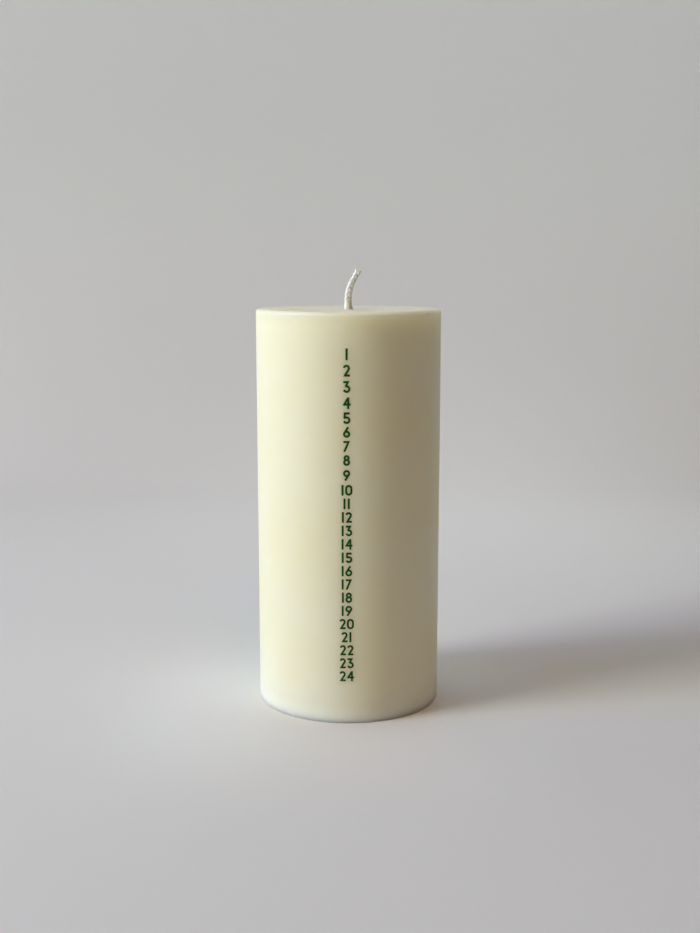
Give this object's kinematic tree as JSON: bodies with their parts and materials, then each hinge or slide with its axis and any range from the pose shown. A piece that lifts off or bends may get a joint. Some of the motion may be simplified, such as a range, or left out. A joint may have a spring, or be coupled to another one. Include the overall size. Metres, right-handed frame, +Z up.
{
  "type": "calendar candle",
  "caption": "Ivory pillar candle with a braided wick and a column of green day numbers down its front, burned down past a number each day.",
  "frame": {"origin": "centre of the foot, on the table", "axes": "+Z up along the pillar's axis; the numbers face -Y; the wick leans towards +X"},
  "size_m": [0.0694, 0.0696, 0.1646],
  "materials": {
    "ivory_wax": "smooth translucent candle wax with a soft satin sheen",
    "wick_cotton": "braided cotton with a thin coat of wax",
    "tinplate": "stamped tinplate",
    "green_ink": "printed ink, slightly glossy"
  },
  "bodies": {
    "root": {"wax_pillar": "ivory_wax", "wick": "wick_cotton", "wick_sustainer": "tinplate", "day_01": "green_ink", "day_02": "green_ink", "day_03": "green_ink", "day_04": "green_ink", "day_05": "green_ink", "day_06": "green_ink", "day_07": "green_ink", "day_08": "green_ink", "day_09": "green_ink", "day_10": "green_ink", "day_11": "green_ink", "day_12": "green_ink", "day_13": "green_ink", "day_14": "green_ink", "day_15": "green_ink", "day_16": "green_ink", "day_17": "green_ink", "day_18": "green_ink", "day_19": "green_ink", "day_20": "green_ink", "day_21": "green_ink", "day_22": "green_ink", "day_23": "green_ink", "day_24": "green_ink"}
  },
  "joints": []
}
